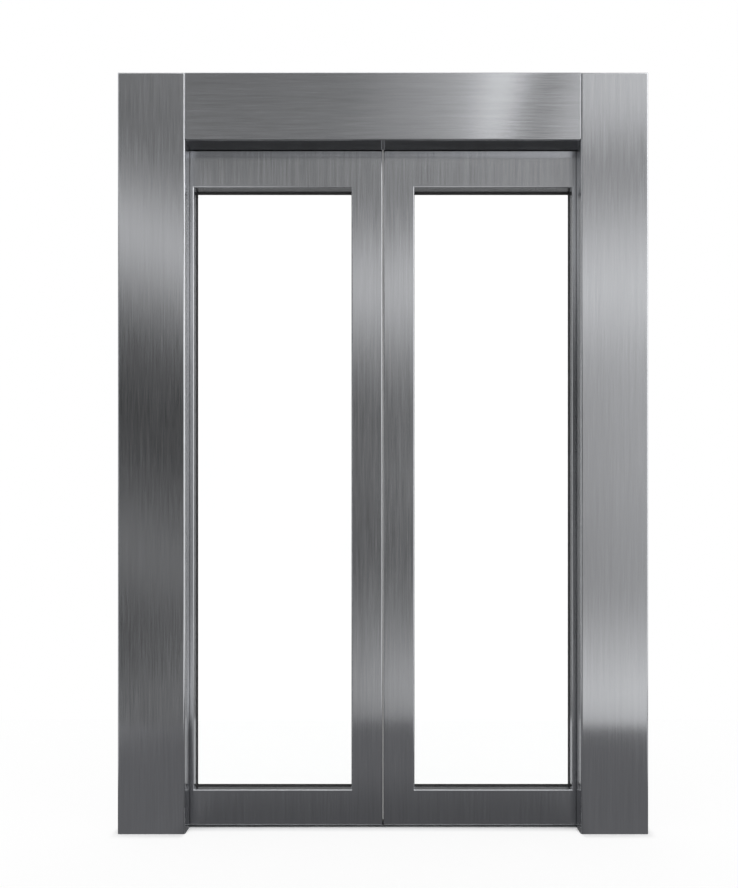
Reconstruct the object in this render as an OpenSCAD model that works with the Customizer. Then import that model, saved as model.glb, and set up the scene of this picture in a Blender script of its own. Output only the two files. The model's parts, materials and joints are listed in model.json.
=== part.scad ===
// Centre-opening sliding landing door: a folded stainless portal and two glazed leaves that hang
// from a track behind its header.
// Millimetres. X runs to the right, Y into the shaft, Z up. The origin is the middle of the doorway
// at floor level, on the plane of the shaft wall and slab edge.

/* [Doorway] */
// Clear width between the jambs
clear_w = 1200; // [900:1:1500]
// Clear height under the header
clear_h = 2100; // [1800:1:2600]

/* [Portal] */
// Width of a jamb's face
jamb_w = 205; // [160:1:300]
// Height of the header's face
header_h = 210; // [150:1:320]
// Depth of the portal in front of the shaft wall
portal_d = 60; // [45:1:120]
// Thickness of the portal's sheet
portal_t = 1.5; // [1:0.1:3]
// Width of the lip at the back of each inner return
inner_lip = 40; // [20:1:60]
// Width of the lip at the back of each outer return
outer_lip = 25; // [15:1:40]
// Open joint between the header and a jamb
header_joint = 0.5; // [0.2:0.1:0.9]

/* [Portal fixings] */
// Width of the hat stiffener inside a jamb and the header
hat_w = 80; // [50:1:110]
// Depth of the hat stiffener
hat_d = 18; // [10:1:30]
// Thickness of the stiffener's sheet
hat_t = 1.5; // [1:0.1:3]
// Thickness of the anchor plates, feet and cleats
bracket_t = 5; // [3:0.5:8]
// Diameter of the wall anchor holes in the outer returns
anchor_d = 11; // [8:0.5:14]
// Height of the lowest wall anchor
anchor_low = 250; // [150:1:500]
// Distance of the highest wall anchor below the header
anchor_drop = 50; // [20:1:400]
// Diameter of the floor and sill anchor holes
floor_anchor_d = 13; // [9:0.5:16]
// Spacing of the two holes in a jamb's foot
foot_pitch = 110; // [60:1:130]

/* [Leaves] */
// Gap between the portal's back and a leaf's face
leaf_gap = 5; // [5:0.5:10]
// Gap between the sill and a leaf
floor_gap = 5; // [5:0.5:8]
// Gap between the steel edges where the leaves meet
meeting_gap = 3; // [2:0.1:6]
// Gap left between the two meeting seals
seal_gap = 1; // [0.5:0.1:1.5]
// Width of the meeting seals across the leaf's edge
seal_w = 30; // [15:1:40]
// Overlap of a leaf behind its jamb
side_lap = 28; // [15:1:40]
// Overlap of a leaf behind the header
head_lap = 25; // [15:1:40]
// Thickness of a leaf's sheet
skin_t = 1.5; // [1:0.1:2.5]
// Thickness of the frame plate at a leaf's back
back_t = 3; // [2:0.5:5]

/* [Windows] */
// Width of the stile beside the meeting edge
meeting_stile = 96; // [60:1:150]
// Width of the stile that slides behind the jamb
outer_stile = 40.5; // [30:0.5:100]
// Height of the rail under the window
bottom_rail = 110; // [60:1:300]
// Height of the rail over the window
top_rail = 140; // [80:1:300]
// Depth of the glass behind the leaf's face
reveal_d = 43; // [20:1:60]
// Thickness of the laminated glass
glass_t = 8; // [6:0.5:14]
// Thickness of the gasket on each side of the glass
gasket_t = 3; // [2:0.5:5]
// Width of the flange that the glass bears on
rebate_w = 14; // [8:1:16]
// Clearance between the glass and the end of its rebate
glass_play = 2; // [1:0.5:4]
// How far the gaskets stand into the window
gasket_lip = 2; // [0:0.5:6]

/* [Sill] */
// Width of the landing sill
sill_w = 75; // [72:1:120]
// Depth of the landing sill
sill_h = 30; // [25:1:50]
// Wall of the sill extrusion
sill_t = 3; // [2:0.5:5]
// Width of the guide groove
groove_w = 12; // [11:0.5:20]
// Depth of the guide groove
groove_d = 18; // [16:0.5:22]
// Pitch of the anti-slip grooves in the sill's top
rib_pitch = 5; // [4:0.5:10]
// Drop of the sill brackets below the sill
bracket_drop = 60; // [40:1:120]
// Width of a sill bracket
bracket_w = 60; // [40:1:100]

/* [Guide shoes] */
// Thickness of a guide shoe in the groove
shoe_t = 10; // [8:0.5:18]
// Length of a guide shoe
shoe_l = 50; // [30:1:70]
// Depth of a guide shoe below the sill's top
shoe_z = 14; // [8:0.5:15]

/* [Track] */
// Height of the rail's underside above the leaves
rail_rise = 63; // [55:1:80]
// Height of the rail
rail_h = 50; // [40:1:70]
// Thickness of the rail
rail_t = 8; // [6:0.5:12]
// Thickness of the track beam's sheet
beam_t = 3; // [2:0.5:5]
// Length of the spacers between the beam and the rail
spacer_l = 19; // [15:0.5:25]
// Running gap between the rail and each roller
run_gap = 0.3; // [0.1:0.1:0.6]
// Radius of a roller at its flanges
roller_r = 25; // [20:0.5:32]
// Depth of the groove round a roller
roller_groove = 3; // [2:0.5:5]
// Width of a roller
roller_w = 14; // [13:0.5:18]
// Radius of the upthrust rollers under the rail
upthrust_r = 15; // [10:0.5:18]
// Distance of the first roller from the middle of the doorway
roller_near = 30; // [29:0.5:40]
// Room between an open leaf's hanger and the end of the portal
end_room = 35; // [30:1:60]

/* [Hangers] */
// Thickness of a hanger plate
hanger_t = 5; // [4:0.5:8]
// Overhang of the hanger plate past its roller studs
hanger_edge = 20; // [17:0.5:24]
// Width of the hanger's foot on the leaf
hanger_foot = 46; // [30:1:50]
// Diameter of a roller stud
stud_d = 10; // [8:0.5:14]
// Running clearance round a stud, on the radius
stud_play = 0.05; // [0.02:0.01:0.1]

/* [Synchronising rope] */
// Diameter of the rope
rope_d = 4; // [3:0.5:6]
// Radius of a pulley at the rope's centre line
pulley_r = 20; // [16:0.5:22]
// Width of a pulley
pulley_w = 8; // [7:0.5:12]
// Running clearance round the rope in a clamp, on the radius
rope_play = 0.3; // [0.2:0.05:0.5]
// Length of a rope clamp
clamp_l = 30; // [20:1:50]
// Half height of a rope clamp
clamp_half = 9; // [6:0.5:10]

/* [Hidden] */
$fn = 48;

// Overhang of every cutting solid past the face that it cuts
cut = 1;

// Portal
half_w = clear_w / 2;
portal_half = half_w + jamb_w;
portal_top = clear_h + header_h;
front_y = -portal_d;
header_half = half_w - header_joint;
anchor_y = -portal_d / 2;
anchor_count = 4;
anchor_step = (clear_h - anchor_drop - anchor_low) / (anchor_count - 1);
anchor_zs = [for (i = [0:anchor_count - 1]) anchor_low + i * anchor_step];
anchor_plate = [40, 60];
foot_rise = 80;
cleat_l = 40;
cleat_edge = 10;

// Leaves: each rectangle is [low x, low z, high x, high z]
leaf_y = leaf_gap;
leaf = [meeting_gap / 2, floor_gap, half_w + side_lap, clear_h + head_lap];
window = [leaf[0] + meeting_stile, leaf[1] + bottom_rail, leaf[2] - outer_stile, leaf[3] - top_rail];
seat_y = leaf_y + reveal_d;
glass_y = seat_y + gasket_t;
rear_y = glass_y + glass_t;
back_y = rear_y + gasket_t;
leaf_end_y = back_y + back_t;
leaf_mid_y = (leaf_y + leaf_end_y) / 2;

// Track, from the leaf's top upwards
rail_z = leaf[3] + rail_rise;
rail_top = rail_z + rail_h;
rail_y = beam_t + spacer_l;
rail_mid_y = rail_y + rail_t / 2;
rail_half = portal_half - 5;
roller_z = rail_top + run_gap + roller_r - roller_groove;
upthrust_z = rail_z - run_gap - upthrust_r;
roller_far = jamb_w - end_room - hanger_edge;
roller_xs = [roller_near, roller_far];
roller_y = rail_mid_y - roller_w / 2;
roller_side = 1;
stop_gap = 0.3;
stop_z = upthrust_z - 12;
stop_h = 20;
stop_end = 2;
spacer_end = 100;
spacer_xs = [for (i = [-2:2]) i * (rail_half - spacer_end) / 2];
spacer_size = [50, 30];

// Hangers
hanger_x0 = roller_near - hanger_edge;
hanger_x1 = roller_far + hanger_edge;
washer_l = 5;
washer_r = 8;
hanger_y = rail_mid_y + roller_w / 2 + washer_l;
hanger_end_y = hanger_y + hanger_t;
stud_head_l = 2;

// Rope loop
pulley_z = roller_z + 10;
rope_y = hanger_end_y + 7 + pulley_w / 2;
rope_zs = [pulley_z - pulley_r, pulley_z + pulley_r];
pulley_x = portal_half - 30;
pulley_flange = 2;
pulley_axle_d = 8;
hanger_top = rope_zs[1] + clamp_half;

// Beam
beam_z = leaf[3] + 25;
beam_top = hanger_top + 6 + beam_t;
beam_half = portal_half - 3;
beam_lower_flange = 12;
beam_upper_flange = rope_y + pulley_w / 2 + 6;

// Sill
groove_y = leaf_mid_y - groove_w / 2;
groove_end = groove_y + groove_w;
rib_w = 2;
rib_d = 1.2;
rib_edge = 3;
sill_bracket_xs = [-half_w, 0, half_w];
shoe_starts = [half_w / 20, jamb_w - 15 - shoe_l];

steel = "silver";
zinc = "lightsteelblue";
rubber = "dimgray";
nylon = "ivory";

// A block over a rectangle, from y0 to y1, grown on all four sides
module slab(r, y0, y1, grow = 0) {
    translate([r[0] - grow, y0, r[1] - grow])
        cube([r[2] - r[0] + 2 * grow, y1 - y0, r[3] - r[1] + 2 * grow]);
}

// A frame round a rectangle, between an inner and an outer growth
module ring(r, inner, outer, y0, y1) {
    difference() {
        slab(r, y0, y1, outer);
        slab(r, y0 - cut, y1 + cut, inner);
    }
}

// A block between two corners
module block(low, high) {
    translate(low) cube(high - low);
}

// A cylinder along Y from a point
module rod_y(at, r, length) {
    translate(at) rotate([-90, 0, 0]) cylinder(r = r, h = length);
}

// A cylinder along X, centred on a point
module rod_x(at, r, length) {
    translate(at) rotate([0, 90, 0]) cylinder(r = r, h = length, center = true);
}

// Draws a right-hand piece on the right (1) or mirrored on the left (-1)
module on_side(side) {
    if (side < 0) mirror([1, 0, 0]) children();
    else children();
}

// Folded jamb: face, two returns, two back lips and a closed top
module jamb_shape() {
    x0 = half_w;
    x1 = portal_half;
    difference() {
        union() {
            block([x0, front_y, 0], [x1, front_y + portal_t, portal_top]);
            block([x0, front_y, 0], [x0 + portal_t, 0, portal_top]);
            block([x1 - portal_t, front_y, 0], [x1, 0, portal_top]);
            block([x0, -portal_t, 0], [x0 + inner_lip, 0, portal_top]);
            block([x1 - outer_lip, -portal_t, 0], [x1, 0, portal_top]);
            block([x0, front_y, portal_top - portal_t], [x1, 0, portal_top]);
        }
        for (z = anchor_zs)
            rod_x([x1, anchor_y, z], anchor_d / 2, 4 * portal_t);
    }
}

// Folded header: face, soffit, top return and two back lips
module header_shape() {
    top_lip = [portal_top - inner_lip, portal_top];
    block([-header_half, front_y, clear_h], [header_half, front_y + portal_t, portal_top]);
    block([-header_half, front_y, clear_h], [header_half, 0, clear_h + portal_t]);
    block([-header_half, front_y, portal_top - portal_t], [header_half, 0, portal_top]);
    block([-header_half, -portal_t, clear_h], [header_half, 0, clear_h + inner_lip]);
    block([-header_half, -portal_t, top_lip[0]], [header_half, 0, top_lip[1]]);
}

// Outline of a hat section that opens towards the sheet it stiffens
module hat_outline() {
    foot = 12;
    difference() {
        union() {
            translate([-hat_w / 2 + foot, 0]) square([hat_w - 2 * foot, hat_d]);
            translate([-hat_w / 2, 0]) square([hat_w, hat_t]);
        }
        translate([-hat_w / 2 + foot + hat_t, -cut])
            square([hat_w - 2 * foot - 2 * hat_t, hat_d - hat_t + cut]);
    }
}

module jamb_stiffener_shape() {
    translate([half_w + jamb_w / 2, front_y + portal_t, bracket_t])
        linear_extrude(portal_top - portal_t - bracket_t) hat_outline();
}

module header_stiffener_shape() {
    reach = header_half - cleat_l - 20;
    translate([-reach, front_y + portal_t, (clear_h + portal_top) / 2])
        rotate([0, 90, 0]) linear_extrude(2 * reach) hat_outline();
}

// Angle that ties the end of the header to the jamb's inner return
module header_cleat_shape() {
    y0 = front_y + portal_t;
    z0 = clear_h + cleat_edge;
    z1 = portal_top - cleat_edge;
    block([half_w - bracket_t, y0, z0], [half_w, -portal_t - cleat_edge, z1]);
    block([half_w - cleat_l, y0, z0], [half_w, y0 + bracket_t, z1]);
}

// Plates behind the outer return, drilled for the wall anchors
module wall_anchors_shape() {
    x1 = portal_half - portal_t;
    for (z = anchor_zs)
        difference() {
            block([x1 - bracket_t, anchor_y - anchor_plate[0] / 2, z - anchor_plate[1] / 2],
                  [x1, anchor_y + anchor_plate[0] / 2, z + anchor_plate[1] / 2]);
            rod_x([x1, anchor_y, z], anchor_d / 2, 4 * bracket_t);
        }
}

// Angle at the jamb's bottom: one flange on the inner return, the other on the floor
module jamb_foot_shape() {
    x0 = half_w + portal_t;
    x1 = portal_half - portal_t - cleat_edge;
    y0 = front_y + portal_t;
    y1 = -portal_t - cleat_edge;
    middle = half_w + jamb_w / 2;
    difference() {
        union() {
            block([x0, y0, 0], [x1, y1, bracket_t]);
            block([x0, y0, 0], [x0 + bracket_t, y1, foot_rise]);
        }
        for (x = [middle - foot_pitch / 2, middle + foot_pitch / 2])
            translate([x, anchor_y, -cut]) cylinder(d = floor_anchor_d, h = bracket_t + 2 * cut);
    }
}

module track_beam_shape() {
    block([-beam_half, 0, beam_z], [beam_half, beam_t, beam_top]);
    block([-beam_half, 0, beam_z], [beam_half, beam_lower_flange, beam_z + beam_t]);
    block([-beam_half, 0, beam_top - beam_t], [beam_half, beam_upper_flange, beam_top]);
}

// Flat rail with a round running edge on top
module track_rail_shape() {
    block([-rail_half, rail_y, rail_z], [rail_half, rail_y + rail_t, rail_top - rail_t / 2]);
    rod_x([0, rail_mid_y, rail_top - rail_t / 2], rail_t / 2, 2 * rail_half);
}

module rail_spacers_shape() {
    middle_z = (rail_z + rail_top - rail_t / 2) / 2;
    for (x = spacer_xs)
        block([x - spacer_size[0] / 2, beam_t, middle_z - spacer_size[1] / 2],
              [x + spacer_size[0] / 2, rail_y, middle_z + spacer_size[1] / 2]);
}

// Stop bracket on the beam's web, with a buffer that faces the hanger's edge at x
module stop_arm(x, buffer, toward) {
    arm_t = 6;
    face = x + toward * buffer;
    block([x - arm_t / 2, beam_t, stop_z], [x + arm_t / 2, hanger_end_y + stop_end, stop_z + stop_h]);
    block([min(x, face), hanger_y - stop_end, stop_z],
          [max(x, face), hanger_end_y + stop_end, stop_z + stop_h]);
}

module centre_stop_shape() {
    reach = hanger_x0 - stop_gap;
    stop_arm(0, reach, 1);
    stop_arm(0, reach, -1);
}

module end_stop_shape() {
    arm_back = 9;
    stop_arm(hanger_x1 + half_w + stop_gap + arm_back, arm_back, -1);
}

// Plate hung from the beam's top flange, with the pulley's axle
module pulley_bracket_shape() {
    plate_y = beam_upper_flange - beam_t;
    plate_half = 15;
    block([pulley_x - plate_half, plate_y, pulley_z - plate_half],
          [pulley_x + plate_half, beam_upper_flange, beam_top - beam_t]);
    rod_y([pulley_x, rope_y - pulley_w / 2 - 1, pulley_z], pulley_axle_d / 2,
          plate_y - rope_y + pulley_w / 2 + 1);
}

module pulley_shape() {
    groove_r = pulley_r - rope_d / 2 - 0.2;
    groove_half = rope_d / 2 + 0.4;
    edge_r = pulley_r + pulley_flange;
    bore_r = pulley_axle_d / 2 + stud_play;
    translate([pulley_x, rope_y, pulley_z]) rotate([90, 0, 0])
        rotate_extrude() difference() {
            translate([bore_r, -pulley_w / 2]) square([edge_r - bore_r, pulley_w]);
            translate([groove_r, -groove_half]) square([edge_r, 2 * groove_half]);
        }
}

// Closed loop of rope round both pulleys
module rope_shape() {
    for (z = rope_zs)
        rod_x([0, rope_y, z], rope_d / 2, 2 * pulley_x);
    for (side = [-1, 1])
        translate([side * pulley_x, rope_y, pulley_z]) rotate([90, side * 90, 0])
            rotate_extrude(angle = 180) translate([pulley_r, 0]) circle(d = rope_d);
}

// Hollow tread of the sill between y0 and y1, flush with the floor
module sill_tread(y0, y1) {
    wall = sill_t;
    difference() {
        block([-portal_half, y0, -sill_h], [portal_half, y1, 0]);
        block([-portal_half - cut, y0 + wall, wall - sill_h], [portal_half + cut, y1 - wall, -wall]);
        for (y = [y0 + rib_edge:rib_pitch:y1 - rib_edge - rib_w])
            block([-portal_half - cut, y, -rib_d], [portal_half + cut, y + rib_w, cut]);
    }
}

// Solid bottom of the guide groove, between the two treads
module sill_groove_shape() {
    block([-portal_half, groove_y, -sill_h], [portal_half, groove_end, -groove_d]);
}

// Angles that carry the sill on the slab's edge
module sill_brackets_shape() {
    z1 = -sill_h;
    z0 = z1 - bracket_drop;
    for (x = sill_bracket_xs)
        difference() {
            union() {
                block([x - bracket_w / 2, 0, z0], [x + bracket_w / 2, bracket_t, z1]);
                block([x - bracket_w / 2, 0, z1 - bracket_t], [x + bracket_w / 2, sill_w, z1]);
            }
            rod_y([x, -cut, z0 + bracket_drop / 3], floor_anchor_d / 2, bracket_t + 2 * cut);
        }
}

// Folded face of a leaf: front, edge returns, window returns and the flange under the glass
module leaf_skin_shape() {
    difference() {
        slab(leaf, leaf_y, leaf_y + skin_t);
        slab(window, leaf_y - cut, leaf_y + skin_t + cut);
    }
    ring(leaf, -skin_t, 0, leaf_y, back_y);
    ring(window, 0, skin_t, leaf_y, seat_y);
    ring(window, 0, rebate_w, seat_y - skin_t, seat_y);
}

module leaf_back_shape() {
    difference() {
        slab(leaf, back_y, leaf_end_y);
        slab(window, back_y - cut, leaf_end_y + cut);
    }
}

module glass_shape() {
    slab(window, glass_y, rear_y, rebate_w - glass_play);
}

module front_gasket_shape() {
    ring(window, -gasket_lip, rebate_w, seat_y, glass_y);
}

module rear_gasket_shape() {
    ring(window, -gasket_lip, rebate_w, rear_y, back_y);
}

module meeting_seal_shape() {
    block([seal_gap / 2, leaf_mid_y - seal_w / 2, leaf[1]], [leaf[0], leaf_mid_y + seal_w / 2, leaf[3]]);
}

// Stud with a collar against the plate and a head in front of the roller
module roller_stud(x, z) {
    rod_y([x, roller_y - stud_head_l, z], stud_d / 2, hanger_y - roller_y + stud_head_l);
    rod_y([x, roller_y - 2 * stud_head_l, z], washer_r, stud_head_l);
    rod_y([x, hanger_y - washer_l + 0.2, z], washer_r, washer_l);
}

module hanger_shape() {
    foot_y = leaf_mid_y - hanger_foot / 2;
    block([hanger_x0, hanger_y, leaf[3]], [hanger_x1, hanger_end_y, hanger_top]);
    block([hanger_x0, foot_y, leaf[3]], [hanger_x1, foot_y + hanger_foot, leaf[3] + hanger_t]);
    for (x = roller_xs) {
        roller_stud(x, roller_z);
        roller_stud(x, upthrust_z);
    }
}

// Roller turned about Y, with a groove that rides on the rail
module roller(x, z, edge_r, groove) {
    bore_r = stud_d / 2 + stud_play;
    groove_half = rail_t / 2 + roller_side;
    translate([x, rail_mid_y, z]) rotate([90, 0, 0])
        rotate_extrude() difference() {
            translate([bore_r, -roller_w / 2]) square([edge_r - bore_r, roller_w]);
            translate([edge_r - groove, -groove_half]) square([2 * groove + cut, 2 * groove_half]);
        }
}

module rollers_shape() {
    for (x = roller_xs) {
        roller(x, roller_z, roller_r, roller_groove);
        roller(x, upthrust_z, upthrust_r, 0);
    }
}

module guide_shoes_shape() {
    for (x = shoe_starts)
        block([x, leaf_mid_y - shoe_t / 2, -shoe_z], [x + shoe_l, leaf_mid_y + shoe_t / 2, leaf[1]]);
}

// Block on the hanger's back that closes round one run of the rope
module rope_clamp_shape(rope_z) {
    difference() {
        block([roller_near, hanger_end_y, rope_z - clamp_half],
              [roller_near + clamp_l, rope_y + pulley_w / 2, rope_z + clamp_half]);
        rod_x([roller_near + clamp_l / 2, rope_y, rope_z], rope_d / 2 + rope_play, clamp_l + 2 * cut);
    }
}

// Left pieces, mirrored from the right
module left_jamb() { color(steel) on_side(-1) jamb_shape(); }
module left_jamb_stiffener() { color(zinc) on_side(-1) jamb_stiffener_shape(); }
module left_header_cleat() { color(zinc) on_side(-1) header_cleat_shape(); }
module left_wall_anchors() { color(zinc) on_side(-1) wall_anchors_shape(); }
module left_jamb_foot() { color(zinc) on_side(-1) jamb_foot_shape(); }
module left_end_stop() { color(zinc) on_side(-1) end_stop_shape(); }
module left_pulley() { color(nylon) on_side(-1) pulley_shape(); }
module left_leaf_skin() { color(steel) on_side(-1) leaf_skin_shape(); }
module left_leaf_back() { color(zinc) on_side(-1) leaf_back_shape(); }
module left_glass() { color("lightcyan", 0.4) on_side(-1) glass_shape(); }
module left_front_gasket() { color(rubber) on_side(-1) front_gasket_shape(); }
module left_rear_gasket() { color(rubber) on_side(-1) rear_gasket_shape(); }
module left_meeting_seal() { color(rubber) on_side(-1) meeting_seal_shape(); }
module left_hanger() { color(zinc) on_side(-1) hanger_shape(); }
module left_rollers() { color(nylon) on_side(-1) rollers_shape(); }
module left_guide_shoes() { color(nylon) on_side(-1) guide_shoes_shape(); }
module left_rope_clamp() { color(zinc) on_side(-1) rope_clamp_shape(rope_zs[0]); }

// Right pieces
module right_jamb() { color(steel) jamb_shape(); }
module right_jamb_stiffener() { color(zinc) jamb_stiffener_shape(); }
module right_header_cleat() { color(zinc) header_cleat_shape(); }
module right_wall_anchors() { color(zinc) wall_anchors_shape(); }
module right_jamb_foot() { color(zinc) jamb_foot_shape(); }
module right_end_stop() { color(zinc) end_stop_shape(); }
module right_pulley() { color(nylon) pulley_shape(); }
module right_leaf_skin() { color(steel) leaf_skin_shape(); }
module right_leaf_back() { color(zinc) leaf_back_shape(); }
module right_glass() { color("lightcyan", 0.4) glass_shape(); }
module right_front_gasket() { color(rubber) front_gasket_shape(); }
module right_rear_gasket() { color(rubber) rear_gasket_shape(); }
module right_meeting_seal() { color(rubber) meeting_seal_shape(); }
module right_hanger() { color(zinc) hanger_shape(); }
module right_rollers() { color(nylon) rollers_shape(); }
module right_guide_shoes() { color(nylon) guide_shoes_shape(); }
module right_rope_clamp() { color(zinc) rope_clamp_shape(rope_zs[1]); }

// Pieces on the middle of the door
module header_panel() { color(steel) header_shape(); }
module header_stiffener() { color(zinc) header_stiffener_shape(); }
module track_beam() { color(zinc) track_beam_shape(); }
module track_rail() { color("gray") track_rail_shape(); }
module rail_spacers() { color("gray") rail_spacers_shape(); }
module centre_stop() { color(zinc) centre_stop_shape(); }
module pulley_brackets() { color(zinc) for (side = [-1, 1]) on_side(side) pulley_bracket_shape(); }
module sync_rope() { color("darkgray") rope_shape(); }
module sill_front() { color("gainsboro") sill_tread(0, groove_y); }
module sill_groove() { color("gainsboro") sill_groove_shape(); }
module sill_rear() { color("gainsboro") sill_tread(groove_end, sill_w); }
module sill_brackets() { color(zinc) sill_brackets_shape(); }

left_jamb();
right_jamb();
header_panel();
left_jamb_stiffener();
right_jamb_stiffener();
header_stiffener();
left_header_cleat();
right_header_cleat();
left_wall_anchors();
right_wall_anchors();
left_jamb_foot();
right_jamb_foot();
track_beam();
track_rail();
rail_spacers();
centre_stop();
left_end_stop();
right_end_stop();
pulley_brackets();
left_pulley();
right_pulley();
sync_rope();
sill_front();
sill_groove();
sill_rear();
sill_brackets();
left_leaf_skin();
left_leaf_back();
left_glass();
left_front_gasket();
left_rear_gasket();
left_meeting_seal();
left_hanger();
left_rollers();
left_guide_shoes();
left_rope_clamp();
right_leaf_skin();
right_leaf_back();
right_glass();
right_front_gasket();
right_rear_gasket();
right_meeting_seal();
right_hanger();
right_rollers();
right_guide_shoes();
right_rope_clamp();
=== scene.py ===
# %% [markdown]
# # A glazed landing door, finished around its frame
# The door stands in the opening of a lift shaft: a folded stainless portal, and behind it two
# leaves with tall windows that slide apart on a track over the doorway.
# The frame already holds every part at its true size and place, so this script never measures by
# eye. It asks the frame for a part's box and builds the finished piece inside that box.

# %% Load the frame
import json
import math

import bpy
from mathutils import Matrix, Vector


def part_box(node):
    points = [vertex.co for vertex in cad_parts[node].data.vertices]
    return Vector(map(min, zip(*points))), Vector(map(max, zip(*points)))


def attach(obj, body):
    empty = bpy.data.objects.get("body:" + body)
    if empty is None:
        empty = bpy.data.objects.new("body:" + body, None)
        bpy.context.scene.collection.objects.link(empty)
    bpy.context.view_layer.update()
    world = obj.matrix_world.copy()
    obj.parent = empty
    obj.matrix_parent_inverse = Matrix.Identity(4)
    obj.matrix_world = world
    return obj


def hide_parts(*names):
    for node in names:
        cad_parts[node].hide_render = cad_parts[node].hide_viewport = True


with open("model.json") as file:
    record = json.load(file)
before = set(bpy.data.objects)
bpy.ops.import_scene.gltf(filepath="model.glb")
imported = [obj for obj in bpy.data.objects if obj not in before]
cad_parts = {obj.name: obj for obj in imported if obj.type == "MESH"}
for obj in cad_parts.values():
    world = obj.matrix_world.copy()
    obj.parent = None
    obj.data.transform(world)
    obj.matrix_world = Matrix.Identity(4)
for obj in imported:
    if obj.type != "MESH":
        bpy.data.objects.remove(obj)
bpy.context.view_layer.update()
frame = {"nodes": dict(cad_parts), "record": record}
SIDES = {"left": -1, "right": 1}

# %% [markdown]
# ## Sizes that the pieces share
# A part's box gives where its faces are. Window edges are read from the box of the gasket that
# they meet, so a change in the frame is followed here without an edit. Sheet thickness and lips are
# given numbers.

# %% Read the driving places
jamb_low, jamb_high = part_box("right_jamb")
header_low, header_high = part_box("header_panel")
leaf_low, leaf_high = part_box("right_leaf_skin")
plate_low, plate_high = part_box("right_leaf_back")
gasket_low, gasket_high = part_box("right_front_gasket")
pane_low, pane_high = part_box("right_glass")
sill_low, sill_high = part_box("sill_front")[0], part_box("sill_rear")[1]
hanger_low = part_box("right_hanger")[0]
rail_low, rail_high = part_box("track_rail")
beam_low, beam_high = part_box("track_beam")

SHEET = 0.0015            # thickness of all folded stainless sheet
FOLD = 0.004              # outside radius of a leaf's folds
PORTAL_FOLD = 0.006       # outside radius of the portal's folds
REBATE = 0.014            # width of the flange that carries the glass
CUT_EDGE = 0.0003         # how far a sheet's cut edges are broken
SAME_PLACE = 0.00001      # places closer than this are one
WINDOW_LOW = gasket_low + Vector((REBATE, 0, REBATE))
WINDOW_HIGH = gasket_high - Vector((REBATE, 0, REBATE))
print("doorway", round(2 * jamb_low.x, 3), "by", round(header_low.z, 3))
print("pane", round(pane_high.x - pane_low.x, 3), "by", round(pane_high.z - pane_low.z, 3))
print("window", [round(v, 4) for v in (WINDOW_LOW.x, WINDOW_LOW.z, WINDOW_HIGH.x, WINDOW_HIGH.z)])

# %% [markdown]
# ## Camera
# The door is seen square on by a person standing on the landing, 2.6 m in front of the portal.
# The lens stays level so that upright edges stay upright, and a small shift of the lens, instead
# of a tilt, brings the door's head and feet into view.

# %% Place the camera
EYE_DISTANCE = 2.6               # in front of the portal's face
EYE_HEIGHT = 0.928
VIEW_HEIGHT = 2.6906             # height that the camera takes in at the portal's face
VIEW_MIDDLE = (-0.0424, 1.1825)  # across and height of its middle, on that face

camera_data = bpy.data.cameras.new("eye")
camera_data.lens = camera_data.sensor_width * EYE_DISTANCE / VIEW_HEIGHT
camera_data.shift_x = VIEW_MIDDLE[0] / VIEW_HEIGHT
camera_data.shift_y = (VIEW_MIDDLE[1] - EYE_HEIGHT) / VIEW_HEIGHT
camera = bpy.data.objects.new("eye", camera_data)
camera.location = (0, jamb_low.y - EYE_DISTANCE, EYE_HEIGHT)
camera.rotation_euler = (math.pi / 2, 0, 0)
bpy.context.scene.collection.objects.link(camera)
bpy.context.scene.camera = camera
print("lens", round(camera_data.lens, 2), "mm")

# %% [markdown]
# ## Writing shader maths as plain expressions
# A finish is a small graph of nodes. Wiring it by hand hides the idea, so a socket is wrapped in
# a class whose operators add Math nodes: `0.3 + grain * 0.1` then builds the graph by itself.
# Every other kind of node comes from one method, which sets the node up before it is wired.

# %% The socket wrapper
class Value:
    """A socket that Python's operators extend with Math nodes."""

    def __init__(self, finish, socket):
        self.finish = finish
        self.socket = socket

    def math(self, operation, first, second):
        return self.finish.node("ShaderNodeMath", {"operation": operation}, {0: first, 1: second})

    def __add__(self, other):
        return self.math("ADD", self, other)

    def __radd__(self, other):
        return self.math("ADD", other, self)

    def __sub__(self, other):
        return self.math("SUBTRACT", self, other)

    def __rsub__(self, other):
        return self.math("SUBTRACT", other, self)

    def __mul__(self, other):
        return self.math("MULTIPLY", self, other)

    def __rmul__(self, other):
        return self.math("MULTIPLY", other, self)

    def __truediv__(self, other):
        return self.math("DIVIDE", self, other)

    def __abs__(self):
        return self.finish.node("ShaderNodeMath", {"operation": "ABSOLUTE"}, {0: self})

    def or_more(self, other):
        """This value or the other, whichever is larger."""
        return self.math("MAXIMUM", self, other)


# %% [markdown]
# ## A finish is one node tree
# The same helper serves every material and the surroundings: it adds a node, sets what the node
# does, and then gives its sockets a value or a link. A ramp's stops count as a setting.

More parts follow.
